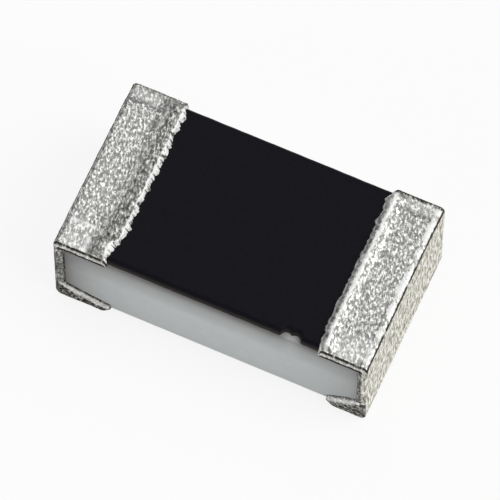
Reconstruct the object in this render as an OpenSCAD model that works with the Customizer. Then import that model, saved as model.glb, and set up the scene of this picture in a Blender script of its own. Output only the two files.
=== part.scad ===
// Thick-film surface-mount chip resistor, 1608 metric (0603) case.
// A snapped alumina block carries printed electrodes, a laser-trimmed resistive film, a glass coat and a
// black overcoat. Each end is closed by a C-shaped terminal of end paste, nickel barrier and matte tin.
// Millimetres. Origin at the centre of the chip, X along its length, Y to the back, Z up.

/* [Chip] */
// Overall length over the plated end faces
chip_length = 1.56; // [1.45:0.01:1.75]

/* [Ceramic substrate] */
// Width of the alumina block
ceramic_width = 0.864; // [0.8:0.005:1]
// Thickness of the alumina block
ceramic_thickness = 0.48; // [0.35:0.01:0.55]
// Height of the bevel that the scribed groove leaves along each long edge
scribe_depth = 0.008; // [0.004:0.001:0.02]
// Width of the same bevel
scribe_width = 0.003; // [0.002:0.001:0.01]

/* [Printed electrodes] */
// Width of the top and bottom electrodes
pad_width = 0.576; // [0.5:0.002:0.66]
// Offset of the top print towards the back edge
pad_shift = 0.036; // [0:0.002:0.05]
// Length of the thick pad on the top, from the end of the ceramic
pad_length = 0.12; // [0.1:0.005:0.15]
// Thickness of the pad
pad_thickness = 0.008; // [0.008:0.001:0.02]
// Length of the taper from the pad down to the tongue
pad_taper = 0.012; // [0.006:0.001:0.02]
// Length of the thin tongue that runs on under the film
tongue_length = 0.19; // [0.15:0.005:0.24]
// Thickness of the tongue
tongue_thickness = 0.006; // [0.004:0.001:0.007]
// Thickness of the bottom electrodes
bottom_pad_thickness = 0.012; // [0.008:0.001:0.018]

/* [Resistive film] */
// Width of the film
film_width = 0.5; // [0.4:0.01:0.54]
// Thickness of the film
film_thickness = 0.01; // [0.006:0.001:0.014]
// Length of the film that lies on each electrode tongue
film_overlap = 0.08; // [0.05:0.005:0.1]
// Run of the slope at the film's ends and steps
film_slope = 0.008; // [0.004:0.001:0.012]
// Distance of the trim cut from the left end of the film
trim_start = 0.3; // [0.2:0.01:0.4]
// Width of the trim cut
trim_kerf = 0.03; // [0.02:0.001:0.04]
// Depth of the trim cut across the film, from its front edge
trim_plunge = 0.24; // [0.1:0.01:0.32]
// Length of the trim cut along the film, after its turn
trim_run = 0.2; // [0.1:0.01:0.35]

/* [Glass and overcoat] */
// Thickness of the glass over the ends of the film
glass_cover = 0.008; // [0.005:0.001:0.012]
// Rim of glass beyond the film, all round
glass_margin = 0.02; // [0.01:0.001:0.03]
// Run of the slope round the glass
glass_slope = 0.008; // [0.004:0.001:0.01]
// Thickness of the overcoat over the glass
coat_cover = 0.012; // [0.008:0.001:0.02]
// Bare tongue between the pad's taper and the overcoat
valley_gap = 0.012; // [0.006:0.001:0.02]
// Run of the slope at the left end of the overcoat
left_coat_slope = 0.043; // [0.02:0.001:0.065]
// Run of the slope at the right end of the overcoat
right_coat_slope = 0.03; // [0.02:0.001:0.065]
// Run of the slope along the overcoat's front and back edges
coat_side_slope = 0.03; // [0.015:0.001:0.045]
// Bare ceramic between the overcoat and the scribed bevel
coat_setback = 0.001; // [0.001:0.001:0.008]
// Place of the bite in the overcoat's front edge, from the middle of the chip
bite_place = 0.373; // [0.3:0.005:0.4]
// Radius of each of the two round nicks of the bite
bite_radius = 0.03; // [0.02:0.002:0.04]
// Distance between the two nicks
bite_pitch = 0.042; // [0.03:0.002:0.05]

/* [Terminals] */
// Thickness of the end paste on the end face
paste_end = 0.03; // [0.02:0.001:0.04]
// Thickness of the end paste on the top pads
paste_top = 0.022; // [0.015:0.001:0.03]
// Thickness of the end paste where it laps the overcoat
paste_lap = 0.014; // [0.01:0.001:0.02]
// Thickness of the end paste under the bottom electrodes
paste_bottom = 0.018; // [0.012:0.001:0.025]
// Thickness of the paste smeared on the front and back faces at the bottom corners
paste_side = 0.003; // [0.002:0.001:0.006]
// Thickness of the nickel barrier
nickel_thickness = 0.005; // [0.003:0.001:0.008]
// Thickness of the tin plating
tin_thickness = 0.008; // [0.005:0.001:0.012]
// Radius of the plated edge between the top and the end face
top_radius = 0.028; // [0.025:0.001:0.045]
// Radius of the plated edge between the bottom and the end face
bottom_radius = 0.035; // [0.03:0.001:0.06]
// Length of the flat crest where the left paste laps the overcoat
left_crest = 0.024; // [0.005:0.001:0.06]
// Length of the flat crest where the right paste laps the overcoat
right_crest = 0.009; // [0.005:0.001:0.06]
// Run of the slope at the terminals' inner edges
edge_run = 0.02; // [0.01:0.001:0.03]
// Length of the front corner's stretch over which the inner edges step back, from the front of the ceramic
corner_length = 0.11; // [0.06:0.005:0.13]
// Step back of the left terminal's inner edge at that corner
left_corner = 0.022; // [0.004:0.001:0.03]
// Step back of the right terminal's inner edge at that corner
right_corner = 0.006; // [0.004:0.001:0.03]
// Length of the left bottom electrode, from the end of the ceramic
left_foot = 0.175; // [0.08:0.005:0.25]
// Length of the right bottom electrode, from the end of the ceramic
right_foot = 0.095; // [0.08:0.005:0.25]
// Run of the slope at the inner ends of the feet
foot_run = 0.05; // [0.03:0.002:0.07]
// Reach of the terminals' rims on to the ceramic's front and back faces
rim_grip = 0.006; // [0.002:0.001:0.01]
// Distance by which each layer reaches past the one under it
layer_step = 0.005; // [0.003:0.001:0.008]
// Height of the corner smear at the end face, above the bottom of the ceramic
smear_height = 0.085; // [0.04:0.005:0.12]
// Height of the corner smear at its inner end
smear_tail = 0.02; // [0.01:0.002:0.03]

/* [Hidden] */

// Straight steps in each quarter round of a terminal's profile
arc_steps = 6;

// The three layers of a terminal, and the plating built up outside the paste on each of them
PASTE = 0;
NICKEL = 1;
TIN = 2;
plating = [0, nickel_thickness, nickel_thickness + tin_thickness];

// Heights of the coats above the ceramic
glass_height = tongue_thickness + film_thickness + glass_cover;
coat_height = glass_height + coat_cover;

// Build-up of the finished terminals on the ceramic, and the chip's height over them
end_build = paste_end + plating[TIN];
foot_build = bottom_pad_thickness + paste_bottom + plating[TIN];
pad_build = pad_thickness + paste_top + plating[TIN];
crest_build = coat_height + paste_lap + plating[TIN];
chip_height = foot_build + ceramic_thickness + max(pad_build, crest_build);

// Faces of the ceramic
end_x = chip_length / 2 - end_build;
side_y = ceramic_width / 2;
flat_y = side_y - scribe_width;
bottom_z = foot_build - chip_height / 2;
top_z = bottom_z + ceramic_thickness;

// Inner edges of the rims that show on the ceramic's front and back faces
grip_x = end_x - rim_grip;
grip_bottom_z = bottom_z + scribe_depth + rim_grip;
grip_top_z = top_z - scribe_depth - rim_grip;

// Places along the right half of the top face, from the end inwards
pad_x = end_x - pad_length;
tongue_x = pad_x - pad_taper;
tip_x = tongue_x - tongue_length;
coat_x = tongue_x - valley_gap;
film_x = tip_x + film_overlap;

// Edges of the film and the overcoat across the chip
film_front_y = pad_shift - film_width / 2;
coat_y = flat_y - coat_setback;

// A quarter round as points, clockwise from one angle to another
function arc(x, z, radius, from, to) = [
    for (i = [0:arc_steps])
        let (angle = from + (to - from) * i / arc_steps)
            [x + radius * cos(angle), z + radius * sin(angle)]
];

// Radius of a layer's edge, concentric with the tin's
function inside(radius, layer) = radius - plating[TIN] + plating[layer];

// Places where a terminal's end of the overcoat reaches its full height, and rises above the tongue
function coat_full_x(slope) = coat_x - slope;
function valley_x(slope) = coat_x - slope * tongue_thickness / coat_height;

// Inner edges of a layer on the overcoat and under the ceramic
function crest_x(layer, slope, crest) = coat_full_x(slope) - crest - edge_run - layer_step * layer;
function foot_x(layer, foot) = end_x - foot - foot_run - layer_step * layer;

// Top of a layer over the printed pad, from its inner edge on the overcoat out to the end face
function pad_edge(layer, slope, inner) =
    let (
        level = top_z + plating[layer],
        crest_z = level + coat_height + paste_lap,
        tin_z = top_z + pad_thickness + paste_top + plating[TIN],
        valley_z = level + tongue_thickness + paste_top
    )
    concat(
        [
            [inner, top_z + coat_height],
            [min(inner + edge_run, coat_full_x(slope)), crest_z],
            [coat_full_x(slope), crest_z],
            [valley_x(slope), valley_z],
            [tongue_x, valley_z],
            [pad_x, level + pad_thickness + paste_top]
        ],
        arc(chip_length / 2 - top_radius, tin_z - top_radius, inside(top_radius, layer), 90, 0)
    );

// Top of a layer beside the pad, straight on the ceramic
function rim_edge(layer, inner) =
    let (tin_z = top_z + paste_top + plating[TIN])
    concat(
        [[inner, top_z], [inner + edge_run, top_z + paste_top + plating[layer]]],
        arc(chip_length / 2 - top_radius, tin_z - top_radius, inside(top_radius, layer), 90, 0)
    );

// Ridge of a layer where it laps the end of the overcoat
function lap(layer, slope, inner) =
    let (
        level = top_z + plating[layer],
        crest_z = level + coat_height + paste_lap
    )
    [
        [inner, top_z],
        [inner, top_z + coat_height],
        [min(inner + edge_run, coat_full_x(slope)), crest_z],
        [coat_full_x(slope), crest_z],
        [coat_x, level + paste_top],
        [coat_x, top_z]
    ];

// Bottom of a layer from the end face in to the toe of its foot
function bottom_edge(layer, foot) =
    let (
        toe = foot_x(layer, foot),
        tin_z = bottom_z - foot_build
    )
    concat(
        arc(chip_length / 2 - bottom_radius, tin_z + bottom_radius, inside(bottom_radius, layer), 0, -90),
        [[toe + foot_run, tin_z + plating[TIN] - plating[layer]], [toe, bottom_z]]
    );

// C-shaped section of a layer, reaching past the scribed bevels on to the ceramic's front and back faces
function wrap(layer, inner, foot, top_edge) = concat(
    top_edge,
    bottom_edge(layer, foot),
    [
        [foot_x(layer, foot), grip_bottom_z],
        [grip_x, grip_bottom_z],
        [grip_x, grip_top_z],
        [inner, grip_top_z]
    ]
);

// Wedge of a layer that climbs the front and back faces at a bottom corner
function smear(layer, foot) = concat(
    [[end_x + paste_end + plating[layer], bottom_z + smear_height + layer_step * layer]],
    bottom_edge(layer, foot),
    [[foot_x(layer, foot), bottom_z + smear_tail + layer_step * layer]]
);

// Extrudes an X-Z section across the chip
module across(width, shift = 0) {
    translate([0, shift + width / 2, 0])
        rotate([90, 0, 0])
            linear_extrude(width)
                children();
}

// Extrudes a Y-Z section along the chip
module along(length) {
    rotate([90, 0, 90])
        translate([0, 0, -length / 2])
            linear_extrude(length)
                children();
}

// Section of a printed layer on the ceramic, with a slope at its near and its far edge
module printed_section(half, height, slope, far_slope) {
    polygon([
        [-half, top_z],
        [half, top_z],
        [half - slope, top_z + height],
        [far_slope - half, top_z + height]
    ]);
}

// A printed layer with a flat top and slopes all round
module printed_layer(half_x, half_y, height, right_slope, left_slope, side_slope, shift = 0) {
    intersection() {
        across(2 * half_y, shift)
            printed_section(half_x, height, right_slope, left_slope);
        translate([0, shift, 0])
            along(2 * half_x)
                printed_section(half_y, height, side_slope, side_slope);
    }
}

module left_half() {
    mirror([1, 0, 0])
        children();
}

module ceramic_form() {
    along(2 * end_x)
        polygon([
            [-flat_y, bottom_z],
            [flat_y, bottom_z],
            [side_y, bottom_z + scribe_depth],
            [side_y, top_z - scribe_depth],
            [flat_y, top_z],
            [-flat_y, top_z],
            [-side_y, top_z - scribe_depth],
            [-side_y, bottom_z + scribe_depth]
        ]);
}

// Printed pad at the end, tapering to the tongue that the film lies on
module top_electrode_form() {
    across(pad_width, pad_shift)
        polygon([
            [end_x, top_z],
            [end_x, top_z + pad_thickness],
            [pad_x, top_z + pad_thickness],
            [tongue_x, top_z + tongue_thickness],
            [tip_x, top_z + tongue_thickness],
            [tip_x, top_z]
        ]);
}

module bottom_electrode_form(foot) {
    across(pad_width)
        polygon([
            [end_x, bottom_z],
            [end_x, bottom_z - bottom_pad_thickness],
            [end_x - foot, bottom_z - bottom_pad_thickness],
            [end_x - foot, bottom_z]
        ]);
}

// L-shaped laser cut through the glass and the film, down to the ceramic
module trim_cut() {
    lead = 2 * glass_margin;
    translate([trim_start - film_x, film_front_y, top_z])
        linear_extrude(3 * glass_height, center = true)
            polygon([
                [0, -lead],
                [trim_kerf, -lead],
                [trim_kerf, trim_plunge - trim_kerf],
                [trim_run, trim_plunge - trim_kerf],
                [trim_run, trim_plunge],
                [0, trim_plunge]
            ]);
}

// Right half of the film's top, stepping up on to the tongue
function film_top(side) = [
    [side * film_x, top_z + tongue_thickness],
    [side * (film_x - film_slope), top_z + tongue_thickness + film_thickness],
    [side * tip_x, top_z + tongue_thickness + film_thickness],
    [side * (tip_x - film_slope), top_z + film_thickness]
];

// The film fills the gap between the tongues and laps both of them
module film_form() {
    mirrored_top = film_top(-1);
    difference() {
        across(film_width, pad_shift)
            polygon(concat(
                film_top(1),
                [for (i = [len(mirrored_top) - 1:-1:0]) mirrored_top[i]],
                [
                    [-tip_x, top_z + tongue_thickness],
                    [-tip_x, top_z],
                    [tip_x, top_z],
                    [tip_x, top_z + tongue_thickness]
                ]
            ));
        trim_cut();
    }
}

module both_top_electrodes() {
    top_electrode_form();
    left_half()
        top_electrode_form();
}

module glass_form() {
    difference() {
        printed_layer(
            film_x + glass_margin,
            film_width / 2 + glass_margin,
            glass_height,
            glass_slope,
            glass_slope,
            glass_slope,
            pad_shift
        );
        trim_cut();
        film_form();
        both_top_electrodes();
    }
}

// Outside of the overcoat, levelled flat before it cured
module coat_form(right_slope, left_slope) {
    printed_layer(coat_x, coat_y, coat_height, right_slope, left_slope, coat_side_slope);
}

// Two round nicks where the front edge of the overcoat drew back from the ceramic
module bite() {
    for (i = [0:1])
        translate([bite_place + i * bite_pitch, -coat_y, top_z])
            cylinder(r = bite_radius, h = coat_height, $fn = 48);
}

// What a right-hand terminal is built on
module carrier(slope, foot) {
    ceramic_form();
    top_electrode_form();
    bottom_electrode_form(foot);
    coat_form(slope, slope);
}

// Extrudes an X-Z section from the front corner's stretch of a layer to its rim at the back
module behind_corner(layer) {
    front = corner_length - side_y - layer_step * layer;
    rear = side_y + plating[layer];
    across(rear - front, (rear + front) / 2)
        children();
}

// Ridge of a layer, falling at its ends with the overcoat's front and back slopes
module lap_form(layer, slope, inner, corner) {
    build = paste_lap + plating[layer];
    height = coat_height + build;
    fall = coat_side_slope * height / coat_height;
    intersection() {
        union() {
            across(ceramic_width + 2 * plating[layer])
                polygon(lap(layer, slope, inner + corner));
            behind_corner(layer)
                polygon(lap(layer, slope, inner));
        }
        along(chip_length)
            printed_section(coat_y + build, height, fall, fall);
    }
}

// A right-hand terminal filled out to the outside of one of its layers
module terminal_form(layer, slope, crest, corner, foot) {
    inner = crest_x(layer, slope, crest);
    across(ceramic_width + 2 * plating[layer])
        polygon(wrap(layer, inner + corner, foot, rim_edge(layer, inner + corner)));
    behind_corner(layer)
        polygon(wrap(layer, inner, foot, rim_edge(layer, inner)));
    across(pad_width + 2 * (paste_top + plating[layer]), pad_shift)
        polygon(wrap(layer, inner, foot, pad_edge(layer, slope, inner)));
    across(ceramic_width + 2 * (paste_side + plating[layer]))
        polygon(smear(layer, foot));
    lap_form(layer, slope, inner, corner);
}

// One layer of a right-hand terminal, without what it covers
module terminal_layer(layer, slope, crest, corner, foot) {
    difference() {
        terminal_form(layer, slope, crest, corner, foot);
        if (layer > PASTE)
            terminal_form(layer - 1, slope, crest, corner, foot);
        carrier(slope, foot);
    }
}

module ceramic_substrate() {
    color([0.88, 0.89, 0.88])
        ceramic_form();
}

module right_top_electrode() {
    color([0.78, 0.77, 0.74])
        top_electrode_form();
}

module left_top_electrode() {
    left_half()
        right_top_electrode();
}

module bottom_electrode(foot) {
    color([0.78, 0.77, 0.74])
        bottom_electrode_form(foot);
}

module right_bottom_electrode() {
    bottom_electrode(right_foot);
}

module left_bottom_electrode() {
    left_half()
        bottom_electrode(left_foot);
}

module resistive_film() {
    color([0.16, 0.15, 0.15])
        film_form();
}

module glass_coat() {
    color([0.35, 0.45, 0.36])
        glass_form();
}

module black_overcoat() {
    color([0.11, 0.11, 0.12])
        difference() {
            coat_form(right_coat_slope, left_coat_slope);
            glass_form();
            film_form();
            both_top_electrodes();
            bite();
        }
}

module end_termination(slope, crest, corner, foot) {
    color([0.66, 0.64, 0.6])
        terminal_layer(PASTE, slope, crest, corner, foot);
}

module nickel_barrier(slope, crest, corner, foot) {
    color([0.62, 0.6, 0.55])
        terminal_layer(NICKEL, slope, crest, corner, foot);
}

module tin_plating(slope, crest, corner, foot) {
    color([0.78, 0.78, 0.76])
        terminal_layer(TIN, slope, crest, corner, foot);
}

module right_end_termination() {
    end_termination(right_coat_slope, right_crest, right_corner, right_foot);
}

module left_end_termination() {
    left_half()
        end_termination(left_coat_slope, left_crest, left_corner, left_foot);
}

module right_nickel_barrier() {
    nickel_barrier(right_coat_slope, right_crest, right_corner, right_foot);
}

module left_nickel_barrier() {
    left_half()
        nickel_barrier(left_coat_slope, left_crest, left_corner, left_foot);
}

module right_tin_plating() {
    tin_plating(right_coat_slope, right_crest, right_corner, right_foot);
}

module left_tin_plating() {
    left_half()
        tin_plating(left_coat_slope, left_crest, left_corner, left_foot);
}

ceramic_substrate();
left_top_electrode();
right_top_electrode();
left_bottom_electrode();
right_bottom_electrode();
resistive_film();
glass_coat();
black_overcoat();
left_end_termination();
right_end_termination();
left_nickel_barrier();
right_nickel_barrier();
left_tin_plating();
right_tin_plating();
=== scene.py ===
# A thick-film chip resistor in the 1608 metric case, lying on its terminals on a pale floor.
# Lengths are written in millimetres and turned into metres where a mesh or a material is made.
import math

import bpy
import numpy as np
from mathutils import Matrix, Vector, noise


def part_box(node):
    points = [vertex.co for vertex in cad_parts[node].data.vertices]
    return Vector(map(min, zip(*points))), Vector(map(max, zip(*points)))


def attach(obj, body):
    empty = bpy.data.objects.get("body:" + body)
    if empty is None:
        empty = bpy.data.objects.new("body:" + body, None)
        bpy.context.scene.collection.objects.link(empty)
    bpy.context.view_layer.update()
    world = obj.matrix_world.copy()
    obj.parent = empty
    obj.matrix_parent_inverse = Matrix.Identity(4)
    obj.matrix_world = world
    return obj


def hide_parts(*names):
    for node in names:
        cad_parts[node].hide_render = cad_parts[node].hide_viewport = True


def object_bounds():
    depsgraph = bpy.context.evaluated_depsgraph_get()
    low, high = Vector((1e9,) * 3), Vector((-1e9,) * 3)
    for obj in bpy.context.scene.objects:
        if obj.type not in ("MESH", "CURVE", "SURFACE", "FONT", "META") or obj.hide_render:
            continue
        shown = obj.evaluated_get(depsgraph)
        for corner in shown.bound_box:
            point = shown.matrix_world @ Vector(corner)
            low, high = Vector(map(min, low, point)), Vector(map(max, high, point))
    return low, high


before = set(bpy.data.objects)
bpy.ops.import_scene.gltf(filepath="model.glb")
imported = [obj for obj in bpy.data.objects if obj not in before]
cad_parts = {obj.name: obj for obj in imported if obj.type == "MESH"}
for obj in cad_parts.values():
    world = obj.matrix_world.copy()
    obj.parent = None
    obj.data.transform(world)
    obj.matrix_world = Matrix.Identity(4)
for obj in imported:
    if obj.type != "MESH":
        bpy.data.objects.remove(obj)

cad_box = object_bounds()


# Alumina block: the white ceramic body, snapped out of a scribed sheet along both long sides.
# Its top and bottom are flat as fired; the front and back are broken faces, finely granular, with
# a bevel along each edge from the scribed groove, and painted shade greys them under the coat and
# at the ends.
MM = 0.001
UM = 0.001  # one micrometre in millimetres

SCRIBE_DEPTH = 8 * UM
SCRIBE_WIDTH = 3 * UM
BROKEN_EDGE_RADIUS = 3 * UM
EDGE_ARC_POINTS = 4
LONGEST_ROUND = 0.45  # share of a side that the round of a corner may take
FRACTURE_STEP = 6.5 * UM
FRACTURE_CELL = 62 * UM
FRACTURE_HEIGHT = 0.8 * UM
GRANULE_CELL = 17 * UM
GRANULE_HEIGHT = 0.25 * UM
PIT_SEED = 1608
PIT_COUNT = 20
PIT_RADIUS = (3.5 * UM, 8 * UM)
PIT_DEPTH = 1.6 * UM


def box_mm(node):
    low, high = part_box(node)
    return np.array(low) / MM, np.array(high) / MM


def smooth(t):
    t = np.clip(t, 0.0, 1.0)
    return t * t * (3.0 - 2.0 * t)


def rise(place, start, run):
    """0 up to the start, then up to 1 over the run."""
    return smooth((place - start) / run)


def fade(place, end, run):
    """1, then down to 0 over the run before the end."""
    return smooth((end - place) / run)


def ripple(points, cell, offset=0.0):
    """Smooth noise round zero that changes over the length of a cell."""
    scaled = np.asarray(points) / cell + offset
    values = [noise.noise(Vector(p)) for p in scaled.reshape(-1, 3)]
    return np.array(values).reshape(scaled.shape[:-1])


def bell(place, middle, width):
    """1 in the middle, falling away to 0 on both sides."""
    return np.exp(-((place - middle) / width) ** 2)


def rounded_outline(corners, radius, step):
    """A closed outline with rounded corners, cut into steps along its straight sides."""
    corners = np.array(corners, float)
    count = len(corners)
    rounds = []
    for i in range(count):
        corner = corners[i]
        back = corners[i - 1] - corner
        ahead = corners[(i + 1) % count] - corner
        back_length, ahead_length = np.linalg.norm(back), np.linalg.norm(ahead)
        reach = min(radius, LONGEST_ROUND * back_length, LONGEST_ROUND * ahead_length)
        start = corner + back / back_length * reach
        end = corner + ahead / ahead_length * reach
        t = np.linspace(0, 1, EDGE_ARC_POINTS + 1)[:, None]
        rounds.append((1 - t) ** 2 * start + 2 * t * (1 - t) * corner + t ** 2 * end)
    outline = []
    for i in range(count):
        outline.extend(rounds[i])
        start, end = rounds[i][-1], rounds[(i + 1) % count][0]
        cuts = max(1, int(np.linalg.norm(end - start) / step))
        for k in range(1, cuts):
            outline.append(start + (end - start) * k / cuts)
    return np.array(outline)


def tube_faces(rings, around):
    """Quads between closed rings of points, with the two end rings left open."""
    faces = []
    for j in range(rings - 1):
        this, following = j * around, (j + 1) * around
        for i in range(around):
            k = (i + 1) % around
            faces.append((this + i, this + k, following + k, following + i))
    return faces


ceramic_low, ceramic_high = box_mm("ceramic_substrate")
end_r, side_y, top_z = ceramic_high
bottom_z = ceramic_low[2]
flat_y = side_y - SCRIBE_WIDTH
ceramic_outline = rounded_outline(
    [
        (-flat_y, bottom_z),
        (flat_y, bottom_z),
        (side_y, bottom_z + SCRIBE_DEPTH),
        (side_y, top_z - SCRIBE_DEPTH),
        (flat_y, top_z),
        (-flat_y, top_z),
        (-side_y, top_z - SCRIBE_DEPTH),
        (-side_y, bottom_z + SCRIBE_DEPTH),
    ],
    BROKEN_EDGE_RADIUS,
    FRACTURE_STEP,
)
ceramic_slices = np.linspace(-end_r, end_r, int(2 * end_r / FRACTURE_STEP))
ceramic_points = np.zeros((len(ceramic_slices), len(ceramic_outline), 3))
ceramic_points[:, :, 0] = ceramic_slices[:, None]
ceramic_points[:, :, 1:] = ceramic_outline[None, :, :]
block_x, block_y, block_z = np.moveaxis(ceramic_points, 2, 0)

# Painted shade: grey below the coat and beside both terminals, darker at the edge, lighter at the
# nicks
SHADE_UNDER_COAT = 0.62
SHADE_DOWN = 195 * UM
SHADE_AT_EDGE = 0.3
SHADE_EDGE_DEPTH = 42 * UM
SHADE_BESIDE_LEFT = 0.97
SHADE_FROM_LEFT = 115 * UM
SHADE_BESIDE_RIGHT = 0.5
SHADE_FROM_RIGHT = 150 * UM
LESS_SHADE_PLACE = 0.4
LESS_SHADE_REACH = 45 * UM
LESS_SHADE = 0.38
below_coat = top_z - block_z
ceramic_shade = SHADE_UNDER_COAT * np.clip(1 - below_coat / SHADE_DOWN, 0, 1)
ceramic_shade += SHADE_AT_EDGE * bell(below_coat, 0, SHADE_EDGE_DEPTH)
ceramic_shade *= 1 - LESS_SHADE * (block_y < 0) * bell(block_x, LESS_SHADE_PLACE, LESS_SHADE_REACH)
beside_left = SHADE_BESIDE_LEFT * np.exp(-(end_r + block_x) / SHADE_FROM_LEFT)
beside_right = SHADE_BESIDE_RIGHT * np.exp(-(end_r - block_x) / SHADE_FROM_RIGHT)
ceramic_shade = 1 - (1 - ceramic_shade) * (1 - beside_left) * (1 - beside_right)

# Broken faces: waves and granules of the fracture, with a few torn-out grains
broken = rise(np.abs(block_y), flat_y, SCRIBE_WIDTH)
broken *= fade(np.abs(block_x), end_r, FRACTURE_CELL)
fracture = FRACTURE_HEIGHT * ripple(ceramic_points, FRACTURE_CELL)
fracture += GRANULE_HEIGHT * ripple(ceramic_points, GRANULE_CELL, offset=7.0)
pit_draw = np.random.default_rng(PIT_SEED)
for face_side in (-1, 1):
    for _ in range(PIT_COUNT):
        pit_x = pit_draw.uniform(-end_r, end_r)
        pit_z = pit_draw.uniform(bottom_z, top_z)
        pit_radius = pit_draw.uniform(*PIT_RADIUS)
        away = np.hypot(block_x - pit_x, block_z - pit_z)
        fracture -= PIT_DEPTH * (block_y * face_side > 0) * bell(away, 0, pit_radius)
block_y += np.sign(block_y) * broken * fracture
around = len(ceramic_outline)
ceramic_faces = [tuple(reversed(f)) for f in tube_faces(len(ceramic_slices), around)]
ceramic_faces.append(tuple(range(around)))
ceramic_faces.append(tuple((len(ceramic_slices) - 1) * around + i for i in reversed(range(around))))

FLOAT = "NodeSocketFloat"
COLOR = "NodeSocketColor"


def feed(tree, socket, given):
    """Links a node's output to a socket, or sets the socket to a plain value."""
    if isinstance(given, bpy.types.NodeSocket):
        tree.links.new(given, socket)
    else:
        socket.default_value = given


def add(tree, kind, **settings):
    """A node with its properties set and its inputs fed by name."""
    made = tree.nodes.new(kind)
    for label, given in settings.items():
        if hasattr(made, label):
            setattr(made, label, given)
        else:
            feed(tree, made.inputs[label.replace("_", " ")], given)
    return made


def calculate(tree, operation, first, second, kind="ShaderNodeMath", **settings):
    made = add(tree, kind, operation=operation, **settings)
    feed(tree, made.inputs[0], first)
    feed(tree, made.inputs[1], second)
    return made.outputs[0]


def remap(tree, value, **limits):
    return add(tree, "ShaderNodeMapRange", Value=value, **limits).outputs["Result"]


def mix(tree, sort, share, first, second):
    """A blend of two values (sort Float) or colours (sort Color)."""
    made = add(tree, "ShaderNodeMix", data_type={"Float": "FLOAT", "Color": "RGBA"}[sort])
    sockets = {socket.identifier: socket for socket in made.inputs}
    feed(tree, sockets["Factor_Float"], share)
    feed(tree, sockets[f"A_{sort}"], first)
    feed(tree, sockets[f"B_{sort}"], second)
    return next(socket for socket in made.outputs if socket.identifier == f"Result_{sort}")


def new_group(name, inputs, outputs):
    """An empty shader node group with named sockets, given as (name, socket kind, value)."""
    group = bpy.data.node_groups.new(name, "ShaderNodeTree")
    for label, kind, value in inputs:
        socket = group.interface.new_socket(label, in_out="INPUT", socket_type=kind)
        socket.default_value = value
    for label, kind in outputs:
        group.interface.new_socket(label, in_out="OUTPUT", socket_type=kind)
    return group, group.nodes.new("NodeGroupInput"), group.nodes.new("NodeGroupOutput")


def place_group(tree, group, values):
    placed = add(tree, "ShaderNodeGroup", node_tree=group)
    for label, value in values.items():
        placed.inputs[label].default_value = value
    return placed.outputs


def new_material(name):
    material = bpy.data.materials.new(name)
    material.use_nodes = True
    return material, material.node_tree, material.node_tree.nodes["Principled BSDF"]


def dress(tree, node, inputs):
    for label, given in inputs.items():
        feed(tree, node.inputs[label], given)


# Grain that every fired or plated surface of the chip shows: a fine mottle in two sizes.
MOTTLE_MIDDLE = 0.5
FINER = 3.1  # how much finer the second size is
mottle, mottle_in, mottle_out = new_group(
    "fired_mottle",
    [
        ("Cell", FLOAT, 20 * UM * MM),
        ("Stretch", FLOAT, 1.0),
        ("Stretch Up", FLOAT, 1.0),
        ("Turn", FLOAT, 0.0),
        ("Fine Share", FLOAT, 0.4),
        ("Softness", FLOAT, 0.2),
        ("Light", COLOR, (0.8, 0.8, 0.8, 1)),
        ("Dark", COLOR, (0.6, 0.6, 0.6, 1)),
        ("Smoothest", FLOAT, 0.4),
        ("Roughest", FLOAT, 0.6),
    ],
    [("Color", COLOR), ("Roughness", FLOAT), ("Height", FLOAT)],
)
asked = mottle_in.outputs
mottle_place = add(mottle, "ShaderNodeTexCoord").outputs["Object"]
mottle_turned = add(
    mottle,
    "ShaderNodeVectorRotate",
    rotation_type="Z_AXIS",
    Vector=mottle_place,
    Angle=asked["Turn"],
).outputs["Vector"]
mottle_squeeze = calculate(mottle, "DIVIDE", 1.0, asked["Stretch"])
mottle_squeeze_up = calculate(mottle, "DIVIDE", 1.0, asked["Stretch Up"])
mottle_axes = add(mottle, "ShaderNodeCombineXYZ", X=1.0, Y=mottle_squeeze, Z=mottle_squeeze_up)
mottle_drawn = calculate(
    mottle, "MULTIPLY", mottle_turned, mottle_axes.outputs["Vector"], kind="ShaderNodeVectorMath")
mottle_scale = calculate(mottle, "DIVIDE", 1.0, asked["Cell"])
mottle_fine_scale = calculate(mottle, "MULTIPLY", mottle_scale, FINER)
mottle_broad = add(
    mottle, "ShaderNodeTexNoise", Detail=2.0, Roughness=0.55,
    Vector=mottle_drawn, Scale=mottle_scale)
mottle_fine = add(
    mottle, "ShaderNodeTexNoise", Detail=1.0, Roughness=0.5,
    Vector=mottle_drawn, Scale=mottle_fine_scale)
mottle_both = mix(
    mottle, "Float", asked["Fine Share"], mottle_broad.outputs["Fac"], mottle_fine.outputs["Fac"])
mottle_low = calculate(mottle, "SUBTRACT", MOTTLE_MIDDLE, asked["Softness"])
mottle_high = calculate(mottle, "ADD", MOTTLE_MIDDLE, asked["Softness"])
mottle_spread = remap(mottle, mottle_both, From_Min=mottle_low, From_Max=mottle_high)
mottle_color = mix(mottle, "Color", mottle_spread, asked["Dark"], asked["Light"])
mottle_rough = remap(mottle, mottle_spread, To_Min=asked["Roughest"], To_Max=asked["Smoothest"])
dress(mottle, mottle_out, {
    "Color": mottle_color,
    "Roughness": mottle_rough,
    "Height": mottle_spread,
})

alumina, alumina_tree, alumina_shader = new_material("fired_alumina")
alumina_grain = place_group(alumina_tree, mottle, {
    "Cell": 60 * UM * MM,
    "Fine Share": 0.35,
    "Light": (0.69, 0.721, 0.721, 1),
    "Dark": (0.654, 0.685, 0.685, 1),
    "Smoothest": 0.55,
    "Roughest": 0.7,
})
# Colour of the painted shade on the ceramic, mixed in by its shade attribute
ALUMINA_SHADE = (0.168, 0.16, 0.155, 1)
alumina_shade_share = add(alumina_tree, "ShaderNodeAttribute", attribute_name="ceramic_shade").outputs["Fac"]
alumina_color = mix(alumina_tree, "Color", alumina_shade_share, alumina_grain["Color"], ALUMINA_SHADE)
dress(alumina_tree, alumina_shader, {
    "Base Color": alumina_color,
    "Roughness": alumina_grain["Roughness"],
    "Specular IOR Level": 0.3,
})


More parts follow.
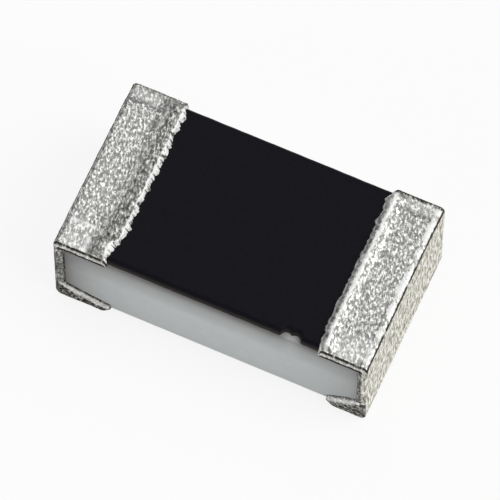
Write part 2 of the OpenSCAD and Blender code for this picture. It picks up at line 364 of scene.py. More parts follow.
def make_piece(name, points, faces, material, node):
    mesh = bpy.data.meshes.new(name)
    mesh.from_pydata((np.asarray(points).reshape(-1, 3) * MM).tolist(), [], faces)
    mesh.validate()
    mesh.polygons.foreach_set("use_smooth", [True] * len(mesh.polygons))
    mesh.materials.append(material)
    piece = bpy.data.objects.new(name, mesh)
    bpy.context.scene.collection.objects.link(piece)
    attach(piece, "root")
    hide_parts(node)
    return piece


def shade_by_point(piece, name, values):
    layer = piece.data.attributes.new(name, "FLOAT", "POINT")
    layer.data.foreach_set("value", np.asarray(values, np.float32).ravel())


ceramic_piece = make_piece(
    "ceramic_body", ceramic_points, ceramic_faces, alumina, "ceramic_substrate")
shade_by_point(ceramic_piece, "ceramic_shade", ceramic_shade)


# Printed electrodes: silver paste screened on the top and bottom of the ceramic and fired.
# They lie under the coats and the terminals, and only their relief shows.
def mottled(name, values, relief, metallic=0.0):
    """A material whose colour, roughness and relief all come from the fired mottle."""
    material, tree, shader = new_material(name)
    grain = place_group(tree, mottle, values)
    bump = add(tree, "ShaderNodeBump", Strength=1.0, Distance=relief, Height=grain["Height"])
    dress(tree, shader, {
        "Base Color": grain["Color"],
        "Roughness": grain["Roughness"],
        "Normal": bump.outputs["Normal"],
        "Metallic": metallic,
    })
    return material


def finish_layer(node, material):
    """Gives its material to a hidden layer, which stays as the CAD made it."""
    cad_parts[node].data.materials.clear()
    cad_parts[node].data.materials.append(material)


electrode_silver = mottled(
    "fired_silver",
    {
        "Cell": 12 * UM * MM,
        "Light": (0.74, 0.72, 0.67, 1),
        "Dark": (0.6, 0.58, 0.54, 1),
        "Smoothest": 0.35,
        "Roughest": 0.55,
    },
    relief=0.8 * UM * MM,
    metallic=1.0,
)
for electrode in (
    "left_top_electrode",
    "right_top_electrode",
    "left_bottom_electrode",
    "right_bottom_electrode",
):
    finish_layer(electrode, electrode_silver)


# Resistive film: dark ruthenium glaze printed across the gap between the electrodes, then cut by a
# laser to its value. The black coat hides it.
resistor_film = mottled(
    "ruthenium_glaze",
    {
        "Cell": 25 * UM * MM,
        "Light": (0.035, 0.033, 0.034, 1),
        "Dark": (0.018, 0.017, 0.018, 1),
        "Smoothest": 0.3,
        "Roughest": 0.5,
    },
    relief=0.5 * UM * MM,
)
finish_layer("resistive_film", resistor_film)


# Glass coat: a thin fired glass over the film, which the trimming laser cut through with it.
# It too lies under the black coat.
inner_glass = mottled(
    "fired_glass",
    {
        "Cell": 40 * UM * MM,
        "Light": (0.12, 0.18, 0.13, 1),
        "Dark": (0.08, 0.13, 0.09, 1),
        "Smoothest": 0.08,
        "Roughest": 0.16,
    },
    relief=0.3 * UM * MM,
)
finish_layer("glass_coat", inner_glass)


# Black overcoat: a pigmented resin printed over the whole middle of the top face and cured.
# It flowed to a flat top with soft rounded edges, wavers a little along the front and back, and
# drew back from the front edge in two small nicks.
COAT_COLUMNS = 236
COAT_ROWS = 96
COAT_EDGE_ROWS = 12
COAT_EDGE_SHARE = 0.05  # share of the width that the closer rows of each edge take
COAT_EDGE_CROWD = 1.5
COAT_SIDE_RUN = 30 * UM
COAT_END_RUN = 30 * UM
COAT_WAVER = 1.4 * UM
COAT_WAVER_CELL = 70 * UM
COAT_PEEL = 0.35 * UM
COAT_PEEL_CELL = 85 * UM
NICK_PLACES = (0.373, 0.415)
NICK_RADIUS = 30 * UM
NICK_ROUND = 0.6
COAT_SINK = 0.4 * UM
FEATHER = 10 * UM

coat_r, coat_y, coat_top = box_mm("black_overcoat")[1]
glass_low, glass_high = box_mm("glass_coat")

coat_x = np.linspace(-coat_r, coat_r, COAT_COLUMNS)
coat_line = np.zeros((COAT_COLUMNS, 3))
coat_line[:, 0] = coat_x
coat_front = -coat_y + COAT_WAVER * (1 + ripple(coat_line, COAT_WAVER_CELL, offset=3.3))
coat_back = coat_y - COAT_WAVER * (1 + ripple(coat_line, COAT_WAVER_CELL, offset=9.1))
for nick_x in NICK_PLACES:
    nick = np.clip(1 - ((coat_x - nick_x) / NICK_RADIUS) ** 2, 0, 1) ** NICK_ROUND
    coat_front = np.maximum(coat_front, -coat_y + NICK_RADIUS * nick)
row_place = np.concatenate([
    COAT_EDGE_SHARE * np.linspace(0, 1, COAT_EDGE_ROWS, endpoint=False) ** COAT_EDGE_CROWD,
    np.linspace(COAT_EDGE_SHARE, 1 - COAT_EDGE_SHARE, COAT_ROWS - 2 * COAT_EDGE_ROWS),
    1 - COAT_EDGE_SHARE * np.linspace(1, 0, COAT_EDGE_ROWS + 1)[1:] ** COAT_EDGE_CROWD,
])
coat_grid = np.zeros((COAT_COLUMNS, COAT_ROWS, 3))
coat_grid[:, :, 0] = coat_x[:, None]
coat_grid[:, :, 1] = coat_front[:, None] + (coat_back - coat_front)[:, None] * row_place[None, :]


def swell(distance, run):
    """Height share of a coat that rounds off towards its edge."""
    t = np.clip(distance / run, 0, 1)
    return np.sqrt(1 - (1 - t) ** 2)


coat_ys = coat_grid[:, :, 1]
to_side = np.minimum(coat_ys - coat_front[:, None], coat_back[:, None] - coat_ys)
to_end = np.repeat((coat_r - np.abs(coat_x))[:, None], COAT_ROWS, axis=1)
coat_height = (coat_top - top_z) * swell(to_side, COAT_SIDE_RUN) * swell(to_end, COAT_END_RUN)
coat_under = coat_grid.copy()
over_glass = rise(coat_ys, glass_low[1], FEATHER) * fade(coat_ys, glass_high[1], FEATHER)
over_glass *= fade(np.abs(coat_grid[:, :, 0]), glass_high[0], FEATHER)
coat_under[:, :, 2] = top_z - COAT_SINK + over_glass * (glass_high[2] - top_z)
coat_peel = COAT_PEEL * ripple(coat_grid, COAT_PEEL_CELL) * swell(to_side, 2 * COAT_SIDE_RUN)
coat_grid[:, :, 2] = top_z - COAT_SINK + coat_height + coat_peel
coat_index = np.arange(COAT_COLUMNS * COAT_ROWS).reshape(COAT_COLUMNS, COAT_ROWS)
under_index = coat_index + coat_index.size
for border in (np.s_[0, :], np.s_[-1, :], np.s_[:, 0], np.s_[:, -1]):
    coat_grid[border][..., 2] = top_z - COAT_SINK
    under_index[border] = coat_index[border]
coat_faces = []
for i in range(COAT_COLUMNS - 1):
    for j in range(COAT_ROWS - 1):
        upper, lower = coat_index[i:i + 2, j:j + 2].tolist(), under_index[i:i + 2, j:j + 2].tolist()
        coat_faces.append((upper[0][0], upper[1][0], upper[1][1], upper[0][1]))
        coat_faces.append((lower[0][0], lower[0][1], lower[1][1], lower[1][0]))

overcoat, overcoat_tree, overcoat_shader = new_material("black_overcoat_resin")
resin_grain = place_group(overcoat_tree, mottle, {
    "Cell": 30 * UM * MM,
    "Fine Share": 0.5,
    "Light": (0.0063, 0.0058, 0.0094, 1),
    "Dark": (0.0053, 0.0049, 0.008, 1),
    "Smoothest": 0.42,
    "Roughest": 0.58,
})
RESIN_RELIEF = 0.3 * UM * MM
RESIN_THIN = (0.035, 0.031, 0.028, 1)
resin_edge = add(overcoat_tree, "ShaderNodeAttribute", attribute_name="thin_edge").outputs["Fac"]
resin_bump = add(
    overcoat_tree, "ShaderNodeBump", Strength=1.0, Distance=RESIN_RELIEF,
    Height=resin_grain["Height"])
dress(overcoat_tree, overcoat_shader, {
    "Base Color": mix(overcoat_tree, "Color", resin_edge, resin_grain["Color"], RESIN_THIN),
    "Roughness": resin_grain["Roughness"],
    "Normal": resin_bump.outputs["Normal"],
    "Specular IOR Level": 0.07,
})

coat_points = np.concatenate([coat_grid.reshape(-1, 3), coat_under.reshape(-1, 3)])
coat_piece = make_piece(
    "overcoat_film", coat_points, coat_faces, overcoat, "black_overcoat")
thin_edge = 1 - smooth(np.minimum(to_side, to_end) / FEATHER)
shade_by_point(coat_piece, "thin_edge", np.concatenate([thin_edge.ravel(), thin_edge.ravel()]))


# End paste and nickel: a conductive paste dipped round each end of the block, and the nickel
# barrier plated on it. Both lie under the tin and only lift its shape.
end_paste = mottled(
    "dipped_paste",
    {
        "Cell": 10 * UM * MM,
        "Light": (0.42, 0.4, 0.36, 1),
        "Dark": (0.3, 0.28, 0.25, 1),
        "Smoothest": 0.5,
        "Roughest": 0.7,
    },
    relief=1.2 * UM * MM,
    metallic=1.0,
)
plated_nickel = mottled(
    "plated_nickel",
    {
        "Cell": 8 * UM * MM,
        "Light": (0.62, 0.59, 0.53, 1),
        "Dark": (0.5, 0.47, 0.42, 1),
        "Smoothest": 0.3,
        "Roughest": 0.45,
    },
    relief=0.6 * UM * MM,
    metallic=1.0,
)
for end in ("left", "right"):
    finish_layer(f"{end}_end_termination", end_paste)
    finish_layer(f"{end}_nickel_barrier", plated_nickel)


# Tin terminals: matte tin barrel-plated over the nickel, a C-shaped skin round each end of the
# chip, pebbled, painted highlights on raised edges, painted shade on sharp ones. On top it ends in
# beads on the coat; at front and back it turns over the ceramic in a rim, with a lip at each bottom
# corner.
TIN_SKIN = 8 * UM
TIN_STEP = 3.6 * UM
INNER_COLUMNS = 9
INNER_MARGIN = 2 * UM
EDGE_SINK = 1.5 * UM
SOLE_LIFT = 0.3 * UM

# What differs between the terminals: the left one's value, then the right one's
TERMINAL_SHAPES = {
    "crumble": (0.6, 0.0),  # how ragged the beaded edge is
    "bead": (34 * UM, 55 * UM),  # length of a bead along it
    "bulge": (12 * UM, 9 * UM),  # how far a bead swells over the coat
    "ramp": (10 * UM, 26 * UM),  # from the edge up to the crest
    "corner": (22 * UM, 6 * UM),  # how far the front corner steps back
    "fall_from": (0.525, 0.552),  # from the chip's middle to where the crest starts to fall
    "fall_to": (0.63, 0.606),  # and to where it has come down to the plateau
    "heel": (35 * UM, 22 * UM),  # radius of the lower end edge
    "lip": (90 * UM, 118 * UM),  # height of the lip where it meets the end
    "lip_curve": (1.0, 1.5),  # hollow of the lip's upper line, 1 where it is straight
    "ramp_highlight": (1.0, 0.65),  # painted highlight on the beads
    "pocket": (0.0, 0.6),  # painted shade between the beads and the crest
    "slope_run": (74 * UM, 62 * UM),  # width of the slope behind the crest
    "slope_taper": (16 * UM, 0.0),  # by which it is narrower at the back, wider at the front
    "slope_painted_shade": (0.48, 0.2),
    "slope_highlight": (0.0, 0.9),
    "brow": (0.5, 0.0),  # painted highlight along the foot of the slope
    "pad_line": (0.9, 0.2),  # painted highlight along the pad's front edge
    "strip": (0.0, 0.9),  # painted highlight in a strip along the end edge
    "tone": (0.0, 0.06),  # least darkening of the whole top
    "bar_painted_shade": (0.66, 0.75),  # painted shade on the rims beside the end face
    "bar_from": (0.1, 0.45),
    "bar_line": (1.0, 0.0),
    "back_line": (0.3, 0.95),  # painted shade in a line along the back edge
    "back_width": (20 * UM, 11 * UM),
    "lip_highlight": (0.8, 0.35),
    "lip_painted_shade": (1.0, 0.9),
    "lip_line": (1.2, 0.6),
    "end_highlight": (0.35, 0.0),  # painted highlight on the end face
}

EDGE_RINGS = 14
EDGE_RINGS_SHARE = 0.1
EDGE_INSET = 1 * UM
EDGE_WAVER = 3.5 * UM
EDGE_WAVER_CELL = 10 * UM
BEAD_DRIFT = 1.5
BEAD_DRIFT_BEADS = 2.0  # over how many beads their length drifts
BEAD_ROUND = 0.5
BULGE_LEVEL, BULGE_SWING = 0.75, 1.4
BULGE_BEADS = 1.2
CRUMB = 6 * UM
CRUMB_CELL = 8.5 * UM
CRUMB_FADE = 30 * UM
SIDE_DRAW = 9 * UM  # by which the edge draws back beside the coat's front and back
SIDE_DRAW_FROM = 40 * UM
SIDE_DRAW_RUN = 30 * UM
CLIFF = 5 * UM
CLIFF_SHARE = 0.1
CREST_RISE = 27 * UM
CORNER_LENGTH = 105 * UM
CORNER_RUN = 20 * UM
CORNER_CREST = 0.5
MARGIN_DROP = 28 * UM
SHOULDER_RUN = 24 * UM
PAD_STEP = 8 * UM
PAD_SPREAD = 35 * UM
PAD_EDGE_RUN = 45 * UM
TOP_RADIUS = 28 * UM
FOOT_REACH = 10 * UM
FOOT_RUN = 50 * UM
TOE_WAVER = 6 * UM
TOE_WAVER_CELL = 60 * UM

tin_low = box_mm("left_tin_plating")[0]
tin_r, tin_bottom = -tin_low[0], tin_low[2]
pad_low, pad_high = box_mm("left_top_electrode")
plateau_front = pad_low[1] - PAD_SPREAD
plateau_back = pad_high[1] + PAD_SPREAD
crest_z = coat_top + CREST_RISE
rim_z = crest_z - MARGIN_DROP
turn_r = tin_r - TOP_RADIUS


def beads(row, length):
    """Bulges of uneven length along an edge: 1 in the middle of each, 0 in the notches between."""
    place = row[:, 1] / length + BEAD_DRIFT * ripple(row, BEAD_DRIFT_BEADS * length, offset=4.4)
    return np.abs(np.sin(math.pi * place)) ** BEAD_ROUND


def quarter_turn(radius):
    """Angles round a quarter circle, in steps of the mesh."""
    return np.linspace(0, math.pi / 2, 1 + int(radius * math.pi / 2 / TIN_STEP))[1:, None]


def stretch(length):
    """Shares of a straight length, in steps of the mesh."""
    return np.linspace(0, 1, int(length / TIN_STEP))[1:, None]


def terminal_sheet(end, side, shape):
    """Rings across one terminal, from its beaded edge on top, round the end, to its toe below."""
    edge_r = np.abs([corner[0] for corner in box_mm(f"{end}_tin_plating")]).min()
    foot_r = np.abs([corner[0] for corner in box_mm(f"{end}_bottom_electrode")]).min() - FOOT_REACH
    toe_r = foot_r - FOOT_RUN
    ys = np.linspace(-side_y, side_y, int(2 * side_y / TIN_STEP))
    from_middle = np.abs(ys)
    row = np.zeros((len(ys), 3))
    row[:, 0] = side * edge_r
    row[:, 1] = ys

    bead = beads(row, shape["bead"])
    bulge = BULGE_LEVEL + BULGE_SWING * ripple(row, BULGE_BEADS * shape["bead"], offset=8.8)
    at_corner = fade(ys, CORNER_LENGTH - side_y, CORNER_RUN)
    set_back = shape["corner"] * at_corner
    inner = edge_r + EDGE_INSET - shape["bulge"] * bead * bulge + set_back
    inner += EDGE_WAVER * ripple(row, EDGE_WAVER_CELL, offset=1.3)
    crumbs = CRUMB * ripple(row, CRUMB_CELL, offset=2.6) * fade(from_middle, side_y, CRUMB_FADE)
    inner += shape["crumble"] * crumbs
    inner += SIDE_DRAW * rise(from_middle, coat_y - SIDE_DRAW_FROM, SIDE_DRAW_RUN)
    plateau = rise(ys, plateau_front - PAD_EDGE_RUN / 2, PAD_EDGE_RUN)
    plateau *= fade(ys, plateau_back + PAD_EDGE_RUN / 2, PAD_EDGE_RUN)
    rest_z = top_z - EDGE_SINK + (coat_top - top_z) * swell(coat_y - from_middle, COAT_SIDE_RUN)
    ridge_z = rim_z + (crest_z - rim_z) * fade(from_middle, coat_y, SHOULDER_RUN)
    level_z = rim_z + PAD_STEP * plateau

    u = np.concatenate([
        np.linspace(0, EDGE_RINGS_SHARE, EDGE_RINGS, endpoint=False),
        np.linspace(EDGE_RINGS_SHARE, 1, int((turn_r - edge_r) / TIN_STEP)),
    ])[:, None]
    top_r = inner * (1 - u) + turn_r * u
    crest_r = edge_r + shape["ramp"] + set_back * (1 + CORNER_CREST)
    climb = np.clip((top_r - inner) / (crest_r - inner), 0, 1)
    top_heights = rest_z + CLIFF * smooth(climb / CLIFF_SHARE)
    top_heights += (ridge_z - top_heights) * np.sin(climb * math.pi / 2)
    fall = rise(top_r - set_back, shape["fall_from"], shape["fall_to"] - shape["fall_from"])
    top_heights += (level_z - ridge_z) * fall

    heel = shape["heel"]
    turn, under = quarter_turn(TOP_RADIUS), quarter_turn(heel)
    down, sole, toe = stretch(top_z - bottom_z), stretch(tin_r - heel - foot_r), stretch(FOOT_RUN)
    toe_waver = TOE_WAVER * ripple(row, TOE_WAVER_CELL, offset=2.2)
    toe_rise = (bottom_z + EDGE_SINK - tin_bottom) * (1 - np.cos(toe * math.pi / 2))
    full = np.ones(len(ys))
    r = np.concatenate([
        top_r,
        (turn_r + TOP_RADIUS * np.sin(turn)) * full,
        tin_r * full * np.ones_like(down),
        (tin_r - heel + heel * np.cos(under)) * full,
        ((tin_r - heel) * (1 - sole) + foot_r * sole) * full,
        foot_r * (1 - toe) + (toe_r + toe_waver) * toe,
    ])
    z = np.concatenate([
        top_heights,
        level_z - TOP_RADIUS + TOP_RADIUS * np.cos(turn),
        (level_z - TOP_RADIUS) * (1 - down) + (tin_bottom + heel) * down,
        (tin_bottom + heel - heel * np.sin(under)) * full,
        tin_bottom * full * np.ones_like(sole),
        (tin_bottom + toe_rise) * full,
    ])
    first_turn = len(top_r)
    first_end = first_turn + len(turn)
    return {
        "ys": ys, "r": r, "z": z, "toe_r": toe_r, "row": row, "turn": turn,
        "top_r": top_r, "crest_r": crest_r, "climb": climb,
        "bead": bead, "plateau": plateau, "at_corner": at_corner,
        "first_turn": first_turn, "first_end": first_end, "last_end": first_end + len(down),
    }


# The rims' and lips' sizes, measured on the ceramic's front and back faces
RIM_POINTS = 6
RIM_FLAT_POINTS = 8
RIM_COLUMNS = 2 * RIM_POINTS + RIM_FLAT_POINTS
RIM_PROUD = 13 * UM
RIM_SEAT = 0.8  # how far the rim's foot is rounded, as a share of its thickness
RIM_DROP = 15 * UM
END_RIM = 50 * UM
LIP_PROUD = 16 * UM
LIP_SEAT = 26 * UM
LIP_TAIL = 32 * UM
LIP_PAST_TOE = 4 * UM
LIP_THICKENS = 0.08
LIP_THINS = 0.1
WIDEST_OUTER_ROUND = 0.4
WIDEST_SEAT = 0.45
FOOT_TUCK = 1 * UM


def terminal_rims(sheet, shape):
    """The turned-over edges on the ceramic's front and back, row by row from the sheet's edge."""
    rings = len(sheet["r"])
    rim_r = tin_r - END_RIM
    window_z = top_z - RIM_DROP
    lip_z = bottom_z + shape["lip"]
    foot = np.full((rings, 2), np.nan)
    for j in range(rings):
        r, z = sheet["r"][j, 0], sheet["z"][j, 0]
        if j < sheet["first_end"]:
            foot[j] = min(r, rim_r), window_z
        elif z > lip_z and j < sheet["last_end"]:
            foot[j] = rim_r, min(z, window_z)
    in_lip = np.isnan(foot[:, 0])
    share = np.linspace(0, 1, in_lip.sum())
    foot[in_lip, 0] = rim_r + (sheet["toe_r"] + LIP_PAST_TOE - rim_r) * share
    foot[in_lip, 1] = lip_z + (bottom_z + LIP_TAIL - lip_z) * share ** shape["lip_curve"]
    thicker = smooth(np.minimum(share / LIP_THICKENS, (1 - share) / LIP_THINS))
    proud = np.full(rings, RIM_PROUD)
    proud[in_lip] += (LIP_PROUD - RIM_PROUD) * thicker

    quarter = np.linspace(0, math.pi / 2, RIM_POINTS + 1)[1:]
    face_share = np.linspace(0, 1, RIM_FLAT_POINTS + 2)[1:-1]
    rims = {}
    for face, column in ((-1, 0), (1, -1)):
        start = np.stack([sheet["r"][:, column], sheet["z"][:, column]], axis=1)
        across = foot - start
        width = np.linalg.norm(across, axis=1)
        across /= width[:, None]
        outer = np.minimum(proud, WIDEST_OUTER_ROUND * width)
        seat = np.minimum(np.where(in_lip, LIP_SEAT, RIM_SEAT * proud), WIDEST_SEAT * width)
        into = np.concatenate([
            outer[:, None] * (1 - np.cos(quarter)),
            outer[:, None] + (width - outer - seat)[:, None] * face_share,
            width[:, None] - seat[:, None] * (1 - np.sin(quarter)),
        ], axis=1)
        out = np.concatenate([
            proud[:, None] * np.sin(quarter),
            np.repeat(proud[:, None], RIM_FLAT_POINTS, axis=1),
            (proud[:, None] + FOOT_TUCK) * np.cos(quarter) - FOOT_TUCK,
        ], axis=1)
        rims[face] = np.stack([
            start[:, :1] + across[:, :1] * into,
            face * (side_y + out),
            start[:, 1:] + across[:, 1:] * into,
        ], axis=2)
    return rims, in_lip


# Marks of painted shade and painted highlight in the plating. Uneven ones give their noise's cell
# and offset, then their level and swing
LINE = 1.7  # strength of a dark line of painted shade, which no bright grain breaks
BEAD_HIGHLIGHT = (17 * UM, 4.9, 0.75, 1.6)
BEAD_HIGHLIGHT_LOSS = 0.3
CREST_WANDER, CREST_WANDER_CELL, CREST_FADE = 6 * UM, 18 * UM, 5 * UM
POCKET_FROM, POCKET_TO, POCKET_RUN = 0.25, 0.95, 0.15  # on the way up the ramp
POCKET_BEAD, POCKET_BEAD_RUN = 0.5, 0.3
GAP_BEAD, GAP_BEAD_RUN = 0.55, 0.25
GAP_CLIMB, GAP_HIGHLIGHT, GAP_RUN = 0.8, 0.3, 0.2
GAP_SHADE = 1.2
SLOPE_FADE = 16 * UM
SLOPE_SHADE = (20 * UM, 7.7, 0.9, 1.1)
CORNER_LIGHTER = 0.6
LIT_BAND_WIDTH, LIT_BAND_FADE = 5 * UM, 14 * UM
LIT_BAND_WANDER, LIT_BAND_WANDER_CELL = 6 * UM, 40 * UM
BROW_AWAY, BROW_WIDTH = 7 * UM, 9 * UM
BROW_AT_FRONT = 1.6
BROW_PATCHES = (24 * UM, 8.2, 0.6, 1.5)
MARGIN_HIGHLIGHT = 0.2
MARGIN_CLOUDS = (80 * UM, 5.2, 0.0, 0.1)
MARGIN_RUN = 30 * UM
PAD_LINE_AWAY, PAD_LINE_WIDTH = 10 * UM, 7 * UM
PAD_LINE_PATCHES = (30 * UM, 9.4, 0.8, 2.0)
STRIP_PATCHES = (60 * UM, 2.9, 0.65, 2.6)
STRIP_BREAKS = (17 * UM, 0.8, 0.0, 1.2)
STRIP_WIDTH, STRIP_FADE = 11 * UM, 3 * UM
STRIP_WANDER = (50 * UM, 7.2, 0.0, 14 * UM)
DARK_LINE_PATCHES = (36 * UM, 6.3, 1.15, 1.5)
DARK_LINE_FROM, DARK_LINE_TO, END_FROM, TURN_RUN = 46, 75, 66, 8  # degrees round the end edge
SHADED_BAND_AWAY, SHADED_BAND_WIDTH, SHADED_BAND_LEVEL = 12 * UM, 4 * UM, 0.8
SHADED_BAND_PATCHES = (24 * UM, 1.9, 0.0, 4.0)
DASHES = (26 * UM, 6.1, 1.1, 1.5)
DASHES_LEAST = 0.4
SPECKS = (13 * UM, 3.7, 0.7, 1.8)
FRONT_LINE = 3 * UM
BACK_LINE_FADE = 0.7
# Shares of the way across a rim, from outer edge to foot, with the run over which each changes
RIM_TOP_LINE, RIM_TOP_RUN = 0.17, 0.07
RIM_FOOT_LINE, RIM_FOOT_RUN = 0.44, 0.06
RIM_BRIGHT_FROM, RIM_BRIGHT_RUN = 0.12, 0.05
RIM_BRIGHT_TO, RIM_BRIGHT_END_RUN = 0.46, 0.06
RIM_HIGHLIGHT = 0.35
BAR_RUN = 0.1
BAR_TOP_LINE, BAR_FOOT_LINE, BAR_LINE_RUN = 0.2, 0.82, 0.08
LIP_DARK_FROM, LIP_DARK_RUN = 0.02, 0.08
LIP_DARK_TO, LIP_BRIGHT_FROM, LIP_CHANGE_RUN = 0.72, 0.68, 0.06
LIP_BRIGHT_TO, LIP_BRIGHT_RUN = 0.92, 0.05
LIP_FOOT_LINE, LIP_FOOT_RUN = 0.88, 0.06
LIP_SPECKLE_MOST, LIP_SPECKLE_SWING = 1.3, 0.6


def varied(points, cell, offset, level, swing):
    return level + swing * ripple(points, cell, offset)


def patches(points, kind, least=0.0):
    """Uneven patches of one kind of mark, none below the least or above 1."""
    return np.clip(varied(points, *kind), least, 1)


def plating_marks(sheet, rims, in_lip, shape):
    """How much painted shade and how much painted highlight the plating gets at each point."""
    ys, row, top_r, crest_r = sheet["ys"], sheet["row"], sheet["top_r"], sheet["crest_r"]
    climb, bead = sheet["climb"], sheet["bead"]
    first_turn, first_end, last_end = sheet["first_turn"], sheet["first_end"], sheet["last_end"]
    rings = len(sheet["r"])
    painted_shade = np.zeros((rings, len(ys)))
    painted_highlight = np.zeros((rings, len(ys)))
    top_shade, turn_shade = painted_shade[:first_turn], painted_shade[first_turn:first_end]
    top_highlight, turn_highlight = painted_highlight[:first_turn], painted_highlight[first_turn:first_end]
    top_y = np.repeat(ys[None, :], len(top_r), axis=0)
    top = np.stack([top_r, top_y, np.zeros_like(top_r)], axis=2)

    # Beaded edge on the coat: painted highlight on beads, painted shade in gaps and pockets between
    # beads and crest
    crest_wander = CREST_WANDER * ripple(top, CREST_WANDER_CELL, offset=3.1)
    beyond = rise(top_r, crest_r + crest_wander, CREST_FADE)
    on_ramp = 1 - beyond
    uneven = patches(top, BEAD_HIGHLIGHT)
    pocket = rise(climb, POCKET_FROM, POCKET_RUN) * fade(climb, POCKET_TO, POCKET_RUN)
    pocket *= shape["pocket"] * rise(bead, POCKET_BEAD, POCKET_BEAD_RUN) * uneven
    gap = fade(bead, GAP_BEAD, GAP_BEAD_RUN) * fade(climb, GAP_CLIMB, GAP_RUN)
    gap = shape["crumble"] * on_ramp * np.maximum(gap, fade(uneven, GAP_HIGHLIGHT, GAP_RUN))
    bead_highlight = shape["ramp_highlight"] - BEAD_HIGHLIGHT_LOSS * (1 - uneven)
    top_highlight += on_ramp * (1 - pocket) * bead_highlight - gap
    top_shade += on_ramp * pocket + GAP_SHADE * gap
    # Slope behind it: painted shade on it, and a band of painted highlight just behind the crest
    slope_foot = crest_r + shape["slope_run"] - shape["slope_taper"] * ys / side_y
    on_slope = fade(top_r, slope_foot, SLOPE_FADE) * (1 - CORNER_LIGHTER * sheet["at_corner"])
    lit_band_wander = LIT_BAND_WANDER * ripple(top, LIT_BAND_WANDER_CELL, offset=2.4)
    lit_band = 1 - rise(top_r, crest_r + LIT_BAND_WIDTH + lit_band_wander, LIT_BAND_FADE)
    shaded = beyond * on_slope * (1 - shape["slope_highlight"] * lit_band)
    top_shade += shape["slope_painted_shade"] * shaded * varied(top, *SLOPE_SHADE)
    top_highlight += shape["slope_highlight"] * beyond * lit_band
    brow = bell(top_r, slope_foot + BROW_AWAY, BROW_WIDTH)
    brow = brow * (1 + BROW_AT_FRONT * fade(ys, plateau_front, PAD_EDGE_RUN))
    top_highlight += shape["brow"] * brow * patches(top, BROW_PATCHES)
    # Painted highlight on the margins beside the pad, and along the pad's own front edge
    margin = MARGIN_HIGHLIGHT * (1 - sheet["plateau"]) + varied(top, *MARGIN_CLOUDS)
    pad_line = bell(ys, plateau_front - PAD_LINE_AWAY, PAD_LINE_WIDTH)
    margin += shape["pad_line"] * pad_line * patches(top, PAD_LINE_PATCHES)
    top_highlight += np.clip(margin, 0, 1) * rise(top_r, shape["fall_to"] - MARGIN_RUN, MARGIN_RUN)
    # Edge between top and end: a strip of painted highlight, painted shade beside it, then a line
    # of painted shade
    strip = shape["strip"] * np.clip(varied(row, *STRIP_PATCHES) + varied(row, *STRIP_BREAKS), 0, 1)
    strip_edge = turn_r - STRIP_WIDTH - varied(row, *STRIP_WANDER)
    degrees = np.degrees(sheet["turn"])
    turn_highlight += strip * fade(degrees, DARK_LINE_FROM, TURN_RUN)
    top_highlight += strip * rise(top_r, strip_edge, STRIP_FADE)
    dark_line = rise(degrees, DARK_LINE_FROM, TURN_RUN) * fade(degrees, DARK_LINE_TO, TURN_RUN)
    turn_shade += LINE * dark_line * patches(row, DARK_LINE_PATCHES)
    shaded_band = bell(top_r, turn_r - SHADED_BAND_AWAY, SHADED_BAND_WIDTH) * patches(top, SHADED_BAND_PATCHES)
    np.maximum(top_shade, SHADED_BAND_LEVEL * shape["strip"] * shaded_band, out=top_shade)

    # Rims: painted shade in a broken line at the top edge, painted highlight on the round, painted
    # shadow at the foot; the bars beside the end face get painted shade between dark lines, and the
    # lips painted highlight above and painted shade below
    dashes = patches(rims[-1], DASHES, DASHES_LEAST)
    specks = patches(rims[-1], SPECKS)
    along = np.linspace(0, 1, RIM_COLUMNS + 1)[1:]
    top_line = fade(along, RIM_TOP_LINE, RIM_TOP_RUN) * dashes
    line_shade = LINE * np.maximum(top_line, rise(along, RIM_FOOT_LINE, RIM_FOOT_RUN))
    line_highlight = RIM_HIGHLIGHT * rise(along, RIM_BRIGHT_FROM, RIM_BRIGHT_RUN) * specks
    line_highlight *= fade(along, RIM_BRIGHT_TO, RIM_BRIGHT_END_RUN)
    bar_painted_shade = shape["bar_painted_shade"] * rise(along, shape["bar_from"], BAR_RUN)
    bar_painted_shade = np.maximum(bar_painted_shade, LINE * rise(along, BAR_FOOT_LINE, BAR_LINE_RUN))
    bar_line = shape["bar_line"] * fade(along, BAR_TOP_LINE, BAR_LINE_RUN)
    bar_painted_shade = np.maximum(bar_painted_shade, LINE * bar_line)
    lip_painted_shade = rise(along, LIP_DARK_FROM, LIP_DARK_RUN) * fade(along, LIP_DARK_TO, LIP_CHANGE_RUN)
    lip_painted_shade = shape["lip_painted_shade"] * lip_painted_shade * (LIP_SPECKLE_MOST - LIP_SPECKLE_SWING * specks)
    lip_painted_shade = np.maximum(lip_painted_shade, shape["lip_line"] * rise(along, LIP_FOOT_LINE, LIP_FOOT_RUN))
    lip_highlight = shape["lip_highlight"] * rise(along, LIP_BRIGHT_FROM, LIP_CHANGE_RUN) * specks
    lip_highlight *= fade(along, LIP_BRIGHT_TO, LIP_BRIGHT_RUN)
    on_end = np.zeros(rings, bool)
    on_end[first_end:last_end] = True
    on_end &= ~in_lip
    on_top = ~(on_end | in_lip)[:, None]
    none = np.zeros_like(dashes)
    kinds = [in_lip[:, None], on_end[:, None]]
    front_shade = np.select(kinds, [lip_painted_shade, none + bar_painted_shade], line_shade)
    front_highlight = np.select(kinds, [lip_highlight, none], line_highlight)
    back_shade = np.where(on_top, shape["back_line"] * line_shade, front_shade)
    back_highlight = np.where(on_top, none, front_highlight)
    front_edge = LINE * fade(ys, FRONT_LINE - side_y, FRONT_LINE)
    back_width = shape["back_width"]
    back_edge = shape["back_line"] * rise(ys, side_y - back_width, BACK_LINE_FADE * back_width)
    edge_line = np.maximum(front_edge, back_edge) * dashes[:first_end, :1]
    painted_shade[:first_end] = np.maximum(painted_shade[:first_end], edge_line)
    painted_highlight[:first_end] *= np.clip(1 - edge_line, 0, 1)
    np.maximum(top_shade, shape["tone"], out=top_shade)

